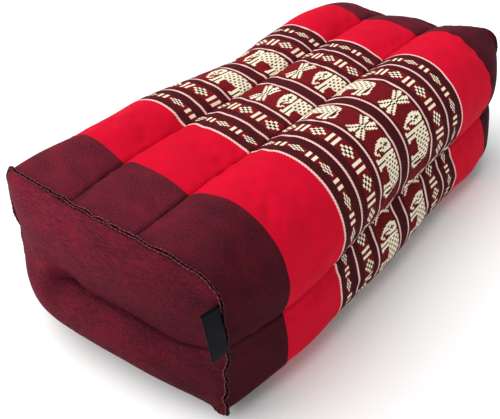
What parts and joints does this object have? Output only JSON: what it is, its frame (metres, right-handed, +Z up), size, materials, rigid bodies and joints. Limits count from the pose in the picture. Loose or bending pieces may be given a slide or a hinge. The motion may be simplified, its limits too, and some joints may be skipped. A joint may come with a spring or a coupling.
{
  "type": "kapok yoga block",
  "caption": "Firm rectangular cushion block in a striped wrap cloth, sewn into long filled channels, with sewn-in end panels and a small side label.",
  "frame": {"origin": "centre of the block's outside, on the floor under it", "axes": "+X along the block towards the far end, +Z up; the label is on the -X end at the -Y corner"},
  "size_m": [0.3772, 0.179, 0.1117],
  "materials": {
    "wrap_cloth": "matt woven cotton in red and dark maroon stripes with cream figured bands",
    "panel_cloth": "matt dark maroon shot weave",
    "label_tape": "smooth black woven tape, left bare"
  },
  "bodies": {
    "root": {"cushion": "wrap_cloth", "end_panel_near": "panel_cloth", "end_panel_far": "panel_cloth", "label": "label_tape"}
  },
  "joints": []
}
